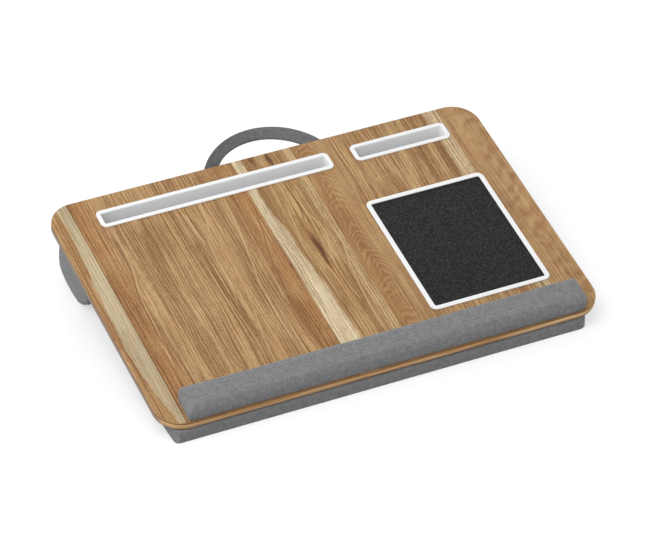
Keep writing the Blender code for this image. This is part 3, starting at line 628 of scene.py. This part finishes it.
def fabricMaterial(name, light, dark, paintedLeftShade=1.0):
    # melange cloth: two greys of fibre in a plain weave that reads on faces turned any way
    weaver = {"Scale": 0.314 / 0.95, "Distortion": 0.6, "Detail": 1.0, "Detail Scale": 0.8}
    shares = {"speck": 0.5, "blotch": 0.48}
    material, shader = newMaterial(name, **{"Specular IOR Level": 0.2, "Sheen Weight": 0.18,
                                           "Sheen Roughness": 0.6})
    place = objectMillimetres()
    threads = [addNode("TexWave", {"Vector": place, **weaver}, bands_direction=axis).outputs["Fac"]
               for axis in "XYZ"]
    weave = plus(plus(threads[0], threads[1]), threads[2])
    alongX = drawnOut(place, (0.55, 0.9, 0.9), 3, 0.65)
    alongY = drawnOut(place, (0.9, 0.55, 0.6), 3, 0.65)
    blotch = noise(place, 0.16, 4, 0.65)
    speck = noise(place, 1.1, 2, 0.5)
    mixed = plus(times(plus(alongX, alongY), 0.5), times(minus(speck, 0.5), shares["speck"]))
    mixed = plus(mixed, times(minus(blotch, 0.5), shares["blotch"]))
    colour = ramp(spread(mixed, 0.32, 0.68), [(0.0, dark), (1.0, light)])
    gap = spread(weave, 0.6, 1.7, 0.88, 1.05)
    if paintedLeftShade < 1:
        # painted shade on the part to the left of the middle, and a little painted light to the right of it
        across = addNode("SeparateXYZ", {0: place}).outputs["X"]
        gap = times(gap, spread(across, -62, 60, paintedLeftShade, 1.08, True))
    shade = addNode("CombineColor", {0: gap, 1: gap, 2: gap}).outputs[0]
    colour = mixColour(1.0, colour, shade, "MULTIPLY")
    height = plus(times(weave, 0.4), mixed)
    linkSurface(shader, colour, spread(mixed, 0.3, 0.7, 0.98, 0.86), height, 0.6, 0.0003)
    return material


def leatherMaterial():
    # pebbled mouse pad: small cells of two sizes with worn, slightly lighter tops
    material, shader = newMaterial("padLeather", **{"Specular IOR Level": 0.28})
    place = deckMillimetres()
    warped = noise(place, 0.25, 2, 0.5)
    shift = doVector("ADD", place, addNode("CombineXYZ", {"X": warped, "Y": warped}).outputs[0])
    cells, small = [addNode("TexVoronoi", {"Vector": shift, "Scale": scale, "Smoothness": 0.4},
                            feature="SMOOTH_F1").outputs["Distance"] for scale in (0.42, 0.95)]
    crease = noise(place, 0.6, 3, 0.6)
    height = minus(1.0, plus(cells, times(small, 0.5)))
    height = plus(height, times(crease, 0.5))
    patch = noise(place, 0.03, 3, 0.5)
    tops = spread(plus(height, times(patch, 0.12)), 0.44, 1.04)
    colour = ramp(tops, [(0.0, srgb(8, 8, 9)), (0.55, srgb(30, 30, 31)), (1.0, srgb(62, 62, 63))])
    linkSurface(shader, colour, spread(height, 0.3, 1.1, 0.75, 0.48), height, 1.0, 0.0006)
    return material


def plasticMaterial():
    # satin white moulding with a faint moulded texture
    material, shader = newMaterial("whiteMoulding", **{"Specular IOR Level": 0.45})
    place = objectMillimetres()
    tint = noise(place, 0.02, 3, 0.5)
    skin = noise(place, 2.2, 3, 0.6)
    colour = ramp(tint, [(0.3, (0.93, 0.93, 0.93, 1)), (0.7, (0.96, 0.96, 0.958, 1))])
    split = addNode("SeparateXYZ", {0: deckMillimetres()}).outputs
    across, depth = split["X"], split["Z"]
    inside = spread(depth, -0.6, -2.5)
    # painted shade: a tray is darker towards its floor and at its left end, where the end wall shades it;
    # painted light makes it lighter at its right end, which faces the lamps
    paintedDepthShade = [(0.0, (0.76, 0.76, 0.77, 1)), (0.7, (0.87, 0.87, 0.875, 1)), (0.97, (0.93, 0.93, 0.932, 1)),
            (1.0, (1, 1, 1, 1))]
    colour = mixColour(1.0, colour, ramp(spread(depth, -20, 0), paintedDepthShade), "MULTIPLY")
    paintedShadeLeftEnds = plus(spread(across, -195, -211), span(across, 100, 109, 1, 9), clamp=True)
    paintedLightRightEnds = plus(span(across, 64, 72, 8, 1), spread(across, 206, 218), clamp=True)
    for ends, tone in ((paintedShadeLeftEnds, (0.80, 0.77, 0.73, 1)), (paintedLightRightEnds, (1.07, 1.07, 1.06, 1))):
        colour = mixColour(times(inside, ends), colour, tone, "MULTIPLY")
    linkSurface(shader, colour, spread(skin, 0.3, 0.7, 0.34, 0.46), skin, 0.12, 0.0001)
    return material


def speckledMaterial(name, light, dark, scale, rough, relief=0.3, metal=0.0):
    material, shader = newMaterial(name, Metallic=metal)
    place = objectMillimetres()
    grains = drawnOut(place, scale, 4, 0.65)
    broad = noise(place, 0.04, 2, 0.5)
    mixed = plus(times(grains, 0.8), times(broad, 0.3))
    colour = ramp(spread(mixed, 0.35, 0.75), [(0.0, srgb(*dark)), (1.0, srgb(*light))])
    linkSurface(shader, colour, spread(grains, 0.3, 0.7, *rough), grains, relief, 0.0002)
    return material


def makeTopSheet(material):
    # printed sheet over the whole board, opened for the trays and the pad
    sheet = {"thick": 0.0008, "edge": 0.0003, "steps": 26}
    holes = ((middles["tablet"], (0.2836, 0.0222)), (middles["phone"], (0.1168, 0.0222)),
             (middles["pad"], (0.1464, 0.1795)))
    piece = plate("topSheet", (0, 0), board["size"], -sheet["thick"], board["corner"], sheet["steps"])
    raiseFaces(sheet["thick"])
    roundEdges(piece, levelEdge(0), sheet["edge"], 2)
    closeShape()
    cutHoles(piece, holes, low=-0.01, tall=0.02, steps=8)
    return finishPiece(piece, material, stands=["top_sheet"], smooth=20)


def makeEdgeBand(material):
    # edging glued round the board just under the sheet
    band = {"low": -0.009, "high": -0.0011, "round": 0.0018, "wide": 0.0022, "edge": 0.0004, "steps": 28}
    piece = plate("edgeBand", (0, 0), board["size"], band["low"], board["corner"], band["steps"])
    raiseFaces(band["high"] - band["low"])
    roundEdges(piece, levelEdge(band["low"]), band["round"], 6)
    roundEdges(piece, levelEdge(band["high"]), band["edge"], 2)
    pick(piece, "faces", faceAt(band["high"]))
    bpy.ops.mesh.inset(thickness=band["wide"] - band["edge"])
    pick(piece, "faces", faceAt(band["low"]))
    bpy.ops.mesh.inset(thickness=band["wide"] - band["round"])
    pick(piece, "faces", lambda face: len(face.verts) > 20)
    bpy.ops.mesh.bridge_edge_loops()
    closeShape()
    return finishPiece(piece, material, stands=["edge_band"])


def makeTray(name, node, length, middle, material):
    # an open box that hangs from its rim
    tray = {"opening": 0.0168, "corner": 0.0016, "rim": 0.005, "rimUp": 0.0012, "base": 0.0003,
            "depth": 0.0225, "draft": 0.0004, "wall": 0.0016, "edge": 0.0005, "floorRound": 0.001}
    top = tray["base"] + tray["rimUp"]
    size = (length + 2 * tray["rim"], tray["opening"] + 2 * tray["rim"])
    piece = plate(name, middle, size, tray["base"], tray["corner"] + tray["rim"], 10)
    raiseFaces(tray["rimUp"])
    pick(piece, "faces", faceAt(top))
    bpy.ops.mesh.inset(thickness=tray["rim"])
    raiseFaces(-tray["depth"])
    bpy.ops.mesh.inset(thickness=tray["draft"])
    pick(piece, "faces", faceAt(tray["base"]))
    bpy.ops.mesh.inset(thickness=tray["rim"] - tray["wall"])
    raiseFaces(-(tray["depth"] + tray["wall"] - tray["rimUp"]))
    turnOutwards()
    roundEdges(piece, sharpEdge(top), tray["edge"], 4)
    roundEdges(piece, sharpEdge(top - tray["depth"]), tray["floorRound"], 4)
    closeShape()
    return finishPiece(piece, material, stands=[node])


def makePadFrame(material):
    ring = {"size": (0.1488, 0.1819), "corner": 0.0078, "wide": 0.0056, "base": 0.0003, "up": 0.0012,
            "edge": 0.0005}
    piece = plate("padFrame", middles["pad"], ring["size"], ring["base"], ring["corner"], 12)
    raiseFaces(ring["up"])
    pick(piece, "faces", lambda face: len(face.verts) > 20)
    bpy.ops.mesh.inset(thickness=ring["wide"])
    bpy.ops.mesh.bridge_edge_loops()
    turnOutwards()
    roundEdges(piece, sharpEdge(ring["base"] + ring["up"]), ring["edge"], 4)
    closeShape()
    return finishPiece(piece, material, stands=["pad_frame"])


def makeMousePad(material):
    pad = {"size": (0.1424, 0.1755), "corner": 0.0044, "low": -0.0012, "edge": 0.0007}
    piece = plate("mousePad", middles["pad"], pad["size"], pad["low"], pad["corner"], 8)
    raiseFaces(-pad["low"])
    roundEdges(piece, levelEdge(0), pad["edge"], 3)
    closeShape()
    return finishPiece(piece, material, stands=["mouse_pad"])


def inflate(piece, voxel, pressure, cap, pinned):
    # even mesh, swell with cloth pressure, keep every point within cap of where it began
    applyModifier(piece, "REMESH", mode="VOXEL", voxel_size=voxel)
    start = np.array([vert.co for vert in piece.data.vertices])
    group = piece.vertex_groups.new(name="held")
    group.add([i for i, point in enumerate(start) if pinned(point)], 1.0, "REPLACE")
    makeActive(piece)
    cloth = piece.modifiers.new("filling", "CLOTH")
    feel = {"quality": 5, "mass": 0.25, "tension_stiffness": 12, "compression_stiffness": 12,
            "shear_stiffness": 6, "bending_stiffness": 0.6, "use_pressure": True,
            "uniform_pressure_force": pressure, "vertex_group_mass": "held"}
    frames = 20
    for name, value in feel.items():
        setattr(cloth.settings, name, value)
    cloth.settings.effector_weights.gravity = 0
    scene = bpy.context.scene
    for step in range(1, frames + 1):
        scene.frame_set(step)
    bpy.ops.object.modifier_apply(modifier="filling")
    scene.frame_set(1)
    moved = np.array([vert.co for vert in piece.data.vertices]) - start
    length = np.linalg.norm(moved, axis=1, keepdims=True) + 1e-12
    moved *= np.tanh(length / cap) * cap / length
    start = start + moved
    return start


def setPoints(piece, points):
    piece.data.vertices.foreach_set("co", points.astype(np.float32).ravel())
    piece.data.update()


def boxForm(name, low, high):
    clearSelection()
    centre = [(a + b) / 2 for a, b in zip(low, high)]
    bpy.ops.mesh.primitive_cube_add(size=1, location=centre)
    piece = bpy.context.active_object
    piece.name = name
    piece.scale = [b - a for a, b in zip(low, high)]
    bpy.ops.object.transform_apply(location=True, rotation=False, scale=True)
    return piece


def seamRidges(cushion, name, cuts, radius):
    # a thin sewn ridge where each plane cuts the cushion's skin, kept where the test holds
    ridges = []
    for point, normal, keep in cuts:
        makeActive(cushion)
        bpy.ops.object.duplicate()
        ridge = bpy.context.active_object
        startEdit(ridge)
        selectMesh()
        bpy.ops.mesh.bisect(plane_co=point, plane_no=normal, clear_inner=True, clear_outer=True)
        pick(ridge, "verts", lambda vert: not keep(vert.co))
        bpy.ops.mesh.delete(type="VERT")
        leaveEdit()
        bpy.ops.object.convert(target="CURVE")
        ridge.data.bevel_depth = radius
        ridge.data.bevel_resolution = 1
        bpy.ops.object.convert(target="MESH")
        ridges.append(ridge)
    clearSelection()
    for ridge in ridges:
        ridge.select_set(True)
    bpy.context.view_layer.objects.active = ridges[0]
    bpy.ops.object.join()
    seam = bpy.context.active_object
    seam.name = name
    startEdit(seam)
    closeShape()
    return seam


def roundCorners(piece, corners, middleY):
    # the upright edges, each rounded by its own size: how tall they are, and how far out they stand
    tall, outX, outY = 0.005, 0.2, 0.019
    for (sideX, sideY), size in corners.items():
        def upright(edge):
            middle = edgeMiddle(edge)
            return (abs(edge.verts[0].co.z - edge.verts[1].co.z) > tall and middle.x * sideX > outX
                    and (middle.y - middleY) * sideY > outY)
        roundEdges(piece, upright, size, 6)


def cutFoot(piece, level):
    # cut a soft form flat at the level it rests on
    startEdit(piece)
    selectMesh()
    bpy.ops.mesh.bisect(plane_co=(0, 0, level), plane_no=(0, 0, 1), clear_inner=True, use_fill=True)
    closeShape()


def makeWristRest(material):
    # padded bar with its corners rounded
    rest = {"low": (-0.2371, -0.1757, 0.0006), "high": (0.2496, -0.1333, 0.0165), "shoulder": 0.0105,
            "side": 0.0068, "swell": 0.0003, "below": 0.004, "held": 0.002, "firstVoxel": 0.002,
            "voxel": 0.0022, "pressure": 3.0, "cap": 0.0014,
            "corners": {(-1, -1): 0.004, (-1, 1): 0.010, (1, -1): 0.014, (1, 1): 0.008}}
    low = [value + rest["swell"] for value in rest["low"][:2]] + [rest["low"][2]]
    high = [value - rest["swell"] for value in rest["high"]]
    piece = boxForm("wristRest", low[:2] + [low[2] - rest["below"]], high)
    startEdit(piece)
    roundCorners(piece, rest["corners"], (low[1] + high[1]) / 2)
    leaveEdit()
    applyModifier(piece, "REMESH", mode="VOXEL", voxel_size=rest["firstVoxel"])
    points = np.array([vert.co for vert in piece.data.vertices])
    # crown: the top falls away towards the foot's outline
    inside = np.minimum(points[:, :2] - low[:2], high[:2] - points[:, :2]).min(axis=1)
    reach = np.clip(inside / rest["shoulder"], 0, 1)
    crown = high[2] - (high[2] - rest["side"]) * (1 - np.sqrt(1 - (1 - reach) ** 2))
    share = np.maximum(points[:, 2] - low[2], 0) / (high[2] - low[2])
    points[:, 2] = np.minimum(points[:, 2], low[2] + share * (crown - low[2]))
    setPoints(piece, points)
    points = inflate(piece, rest["voxel"], rest["pressure"], rest["cap"],
                     lambda point: point[2] < rest["low"][2] + rest["held"])
    points = np.clip(points, list(rest["low"][:2]) + [-1], rest["high"])
    setPoints(piece, points)
    applyModifier(piece, "SMOOTH", factor=0.5, iterations=2)
    cutFoot(piece, rest["low"][2])
    finishPiece(piece, material, stands=["wrist_rest_cover", "wrist_rest_foam"], smooth=55)
    return piece


def deckHeight(y, level):
    return deck["z"] + (y - deck["y"]) * math.tan(deck["slope"]) + level / math.cos(deck["slope"])


def pressDown(points, spanX, spanY, level):
    # keep the cushion's top under something that hangs below the board: x and y in the board's own frame
    across = points[:, 0]
    along = (points[:, 1] - deck["y"]) * math.cos(deck["slope"])
    along += (points[:, 2] - deck["z"]) * math.sin(deck["slope"])
    inside = (across > spanX[0]) & (across < spanX[1]) & (along > spanY[0]) & (along < spanY[1])
    limit = deckHeight(points[:, 1], level)
    points[:, 2] = np.where(inside, np.minimum(points[:, 2], limit), points[:, 2])


def makeBolster(name, stands, setup, material, seamThreadAndHighlight):
    # a wedge from the table up to the cloth under the board: its profile first, then the round of its ends
    left, right, front, rear = setup["spans"]
    # in the board's own frame, the top stands just clear of the cloth
    swell, top = setup["swell"], -0.0098
    seamRadius = 0.0008
    square = "corners" in setup
    # a square cushion is made deeper and cut flat at the floor later
    low = -0.006 if square else 0.0
    piece = boxForm(name, (left + swell, front + swell, low), (right - swell, rear - swell, 0.02))
    for vert in piece.data.vertices:
        if vert.co.z > 0.01:
            vert.co.z = deckHeight(vert.co.y, top)
    startEdit(piece)
    if square:
        roundCorners(piece, setup["corners"], (front + rear) / 2)
    else:
        for edgeY, size in ((front + swell, setup["toe"]), (rear - swell, setup["heel"])):
            roundEdges(piece, lambda edge: levelEdge(0)(edge) and abs(edgeMiddle(edge).y - edgeY) < 1e-4
                       and abs(edge.verts[0].co.x - edge.verts[1].co.x) > 0.1, size, 10)

        def endEdge(edge):
            ends = [vert.co for vert in edge.verts]
            flat = abs(ends[0].x - ends[1].x) < near
            onTop = all(point.z > deckHeight(point.y, top - 0.0007) for point in ends)
            return flat and not onTop
        roundEdges(piece, endEdge, setup["endRound"], 6)
    leaveEdit()

    def held(point):
        return point[2] < 0.0012 or point[2] > deckHeight(point[1], top) - 0.003
    points = inflate(piece, setup["voxel"], setup["pressure"], setup["cap"], held)
    points[:, 0] = np.clip(points[:, 0], left, right)
    points[:, 1] = np.clip(points[:, 1], front, rear)
    points[:, 2] = np.clip(points[:, 2], -1.0 if square else 0.0, deckHeight(points[:, 1], top))
    if "slump" in setup:
        # the filling settles and swells the foot of each end
        slump = setup["slump"]
        outer = np.clip((np.abs(points[:, 0]) - slump["from"]) / slump["over"], 0, 1)
        share = outer * np.exp(-(points[:, 2] / slump["high"]) ** 2)
        share *= np.interp(points[:, 1], slump["fade"], (1, 0))
        points[:, 0] += np.sign(points[:, 0]) * share * slump["out"]
    for spanX, spanY, level in setup["pockets"]:
        pressDown(points, spanX, spanY, level)
    setPoints(piece, points)
    if square:
        cutFoot(piece, 0.0)
    seam = seamRidges(piece, name + "Seam", setup["seams"], seamRadius)
    finishPiece(piece, material, stands=stands, place=None, smooth=55)
    return finishPiece(seam, seamThreadAndHighlight, place=None, smooth=60)


def makeRearBolster(material, seamThreadAndHighlight):
    # the seams of the end panels: their place, and how far they run from the floor up to the board
    panel = {"x": 0.2478, "low": 0.001, "high": -0.013}

    def onPanel(point):
        return panel["low"] < point.z < deckHeight(point.y, panel["high"])
    seams = [((side * panel["x"], 0.10, 0.03), (1, 0, 0), onPanel) for side in (-1, 1)]
    trayPocket, tabPocket = ((0.1258, 0.1560), -0.0236), ((0.1500, 0.1900), -0.0136)
    return makeBolster("rearBolster", ["rear_bolster_cover", "rear_bolster_fill"], {
        "spans": (-0.2555, 0.2550, 0.0446, 0.144896), "swell": 0.0012, "toe": 0.042, "heel": 0.023,
        "endRound": 0.0045, "voxel": 0.0032, "pressure": 5.0, "cap": 0.004,
        "slump": {"from": 0.215, "over": 0.04, "high": 0.014, "out": 0.0024, "fade": (0.100, 0.128)},
        # room for the two trays and for the strap's ends
        "pockets": (((-0.2146, 0.0744), *trayPocket), ((0.1016, 0.2238), *trayPocket),
                    ((-0.0790, -0.0475), *tabPocket), ((0.0631, 0.0946), *tabPocket)),
        "seams": seams}, material, seamThreadAndHighlight)


def makeFrontBolster(material, seamThreadAndHighlight):
    spans = (-0.2542, 0.2464, -0.2013, -0.1194)
    # two ridges cross each corner at these distances from it
    corner = {"reach": 0.012, "low": 0.0005, "high": -0.012, "ridges": (0.0012, 0.0038)}
    seams = []
    for x, sideX in ((spans[0], -1), (spans[1], 1)):
        for y, sideY in ((spans[2], -1), (spans[3], 1)):
            def byCorner(point, x=x, y=y):
                return (abs(point.x - x) < corner["reach"] and abs(point.y - y) < corner["reach"]
                        and corner["low"] < point.z < deckHeight(point.y, corner["high"]))
            for shift in corner["ridges"]:
                seams.append(((x - sideX * shift, y, 0.01), (1, -sideX * sideY, 0), byCorner))
    return makeBolster("frontBolster", ["front_bolster_cover", "front_bolster_fill"], {
        "spans": spans, "swell": 0.0003, "voxel": 0.0025, "pressure": 3.0, "cap": 0.0016,
        "pockets": (), "seams": seams,
        "corners": {(-1, -1): 0.0055, (-1, 1): 0.008, (1, -1): 0.009, (1, 1): 0.007}}, material, seamThreadAndHighlight)


def makeBaseCloth(material):
    # stretched over the underside of the board and stapled at the sides
    cloth = {"size": (0.532, 0.351), "corner": 0.0305, "top": -0.0093, "thick": 0.0012}
    piece = plate("baseCloth", (0, 0), cloth["size"], cloth["top"] - cloth["thick"], cloth["corner"], 20)
    raiseFaces(cloth["thick"])
    closeShape()
    holes = ((middles["tablet"], (0.2840, 0.0226)), (middles["phone"], (0.1172, 0.0226)))
    cutHoles(piece, holes, low=-0.03, tall=0.04, steps=6)
    finishPiece(piece, material, stands=["base_cloth"], smooth=30)
    return piece


def makeStrap(material):
    strap = {"centre": (0.0078, 0.1466), "radius": 0.0755, "wide": 0.0186, "thick": 0.0025,
             "corner": 0.00115, "level": -0.01205, "endY": 0.1570, "steps": 80,
             # at angles round the arc: turn in degrees, share of the width, how far it sags inwards
             "twist": ((24, 0), (32, 6), (60, 8), (82, 4), (98, 0), (112, -6), (130, -14), (144, -16),
                       (151, -4), (154, 0)),
             "share": ((80, 1.0), (110, 0.98), (130, 0.92), (150, 0.88), (166, 0.92)),
             "sag": ((20, 0), (60, 0.0002), (90, 0.0004), (120, 0.0008), (150, 0.0006), (166, 0)),
             # it bends between these two places when it swings
             "bends": (0.1785, 0.1900)}
    radius, level = strap["radius"], strap["level"]
    middle = (*strap["centre"], level)
    angle = math.asin((strap["endY"] - middle[1]) / radius)
    clearSelection()
    bpy.ops.mesh.primitive_plane_add(size=1)
    piece = bpy.context.active_object
    piece.name = "carryStrap"
    piece.scale = (strap["wide"], strap["thick"], 1)
    bpy.ops.object.transform_apply(location=False, rotation=False, scale=True)
    bpy.ops.object.mode_set(mode="EDIT")
    selectMesh()
    bpy.ops.mesh.bevel(offset=strap["corner"], segments=5, affect="VERTICES")
    leaveEdit()
    # the section stands across the band at its right end
    turn = Matrix.Rotation(angle, 4, "Z") @ Matrix.Translation((radius, 0, 0))
    piece.data.transform(Matrix.Translation(middle) @ turn @ Matrix.Rotation(math.pi / 2, 4, "X"))
    startEdit(piece)
    selectMesh()
    bpy.ops.mesh.spin(steps=strap["steps"], angle=2 * angle - math.pi, center=middle, axis=(0, 0, 1))
    closeShape()
    # the band twists one way on its right leg and the other way on its left one, where it is drawn in
    points = np.array([vert.co for vert in piece.data.vertices])
    away = points[:, :2] - strap["centre"]
    turned = np.degrees(np.arctan2(away[:, 1], away[:, 0]))
    reach = np.hypot(away[:, 0], away[:, 1])
    share, twist, sag = [np.interp(turned, *zip(*strap[name])) for name in ("share", "twist", "sag")]
    offset = (reach - radius) * share
    rise = points[:, 2] - level
    twist = np.radians(twist)
    bent = radius + offset * np.cos(twist) - rise * np.sin(twist) - sag
    points[:, :2] = strap["centre"] + away * (bent / reach)[:, None]
    points[:, 2] = level + offset * np.sin(twist) + rise * np.cos(twist)
    setPoints(piece, points)
    finishPiece(piece, material, body=None,
                stands=["carry_strap", "strap_tab_left", "strap_tab_right"])
    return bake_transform(piece)


def finishHidden():
    # for the CAD nodes whose name holds the word: a material's name, its light and dark colour, the scale
    # of its specks and its roughness, then the depth of its relief and how metallic it is, where they differ
    finishes = {
        "board_core": ("fibreboard", (176, 142, 104), (128, 98, 68), (0.9, 0.9, 1.6), (0.8, 0.95)),
        "bottom_sheet": ("backingSheet", (88, 85, 82), (62, 60, 58), (0.5, 0.5, 0.5), (0.6, 0.75)),
        "pad_underlay": ("blackFoam", (52, 52, 53), (34, 34, 35), (1.6, 1.6, 1.6), (0.85, 0.98)),
        "wrist_rest_foam": ("whiteFoam", (228, 224, 214), (204, 198, 186), (1.4, 1.4, 1.4), (0.85, 0.98)),
        "wrist_rest_base": ("greyStrip", (112, 112, 112), (88, 88, 88), (0.4, 0.8, 0.8), (0.7, 0.85)),
        "wrist_rest_tape": ("paleTape", (240, 238, 230), (222, 218, 206), (0.2, 1.2, 1.2), (0.5, 0.65)),
        "bolster_fill": ("beadLiner", (232, 230, 224), (206, 203, 196), (0.35, 0.35, 0.35), (0.85, 0.95),
                         0.6),
        "cloth_staple": ("zincWire", (206, 206, 208), (168, 168, 172), (1.5, 1.5, 0.4), (0.28, 0.45),
                         0.15, 1.0),
    }
    for part, finish in finishes.items():
        material = speckledMaterial(*finish)
        for node in nodes:
            if part in node:
                for holder in nodes[node].material_slots:
                    holder.material = material


def buildAll():
    makeStage()
    print("stage ready")
    oak = woodMaterial()
    edging = bandMaterial()
    plastic = plasticMaterial()
    leather = leatherMaterial()
    cloth = fabricMaterial("melangeCloth", srgb(146, 146, 147), srgb(108, 108, 109))
    # the seams are a paler thread, with painted highlight on the seam folds
    seamThreadAndHighlight = fabricMaterial("seamThreadAndHighlight", srgb(176, 176, 177), srgb(146, 146, 147))
    webbing = fabricMaterial("strapCloth", srgb(122, 122, 123), srgb(86, 86, 87), paintedLeftShade=0.62)
    makeTopSheet(oak)
    makeEdgeBand(edging)
    print("board ready")
    makeTray("tabletTray", "tablet_tray", trayLengths["tablet"], middles["tablet"], plastic)
    makeTray("phoneTray", "phone_tray", trayLengths["phone"], middles["phone"], plastic)
    makePadFrame(plastic)
    makeMousePad(leather)
    print("mouldings ready")
    makeWristRest(cloth)
    makeRearBolster(cloth, seamThreadAndHighlight)
    makeFrontBolster(cloth, seamThreadAndHighlight)
    makeBaseCloth(cloth)
    print("soft pieces ready")
    makeStrap(webbing)
    print("strap ready")
    finishHidden()
    print("hidden pieces finished")


buildAll()
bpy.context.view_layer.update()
clearSelection()
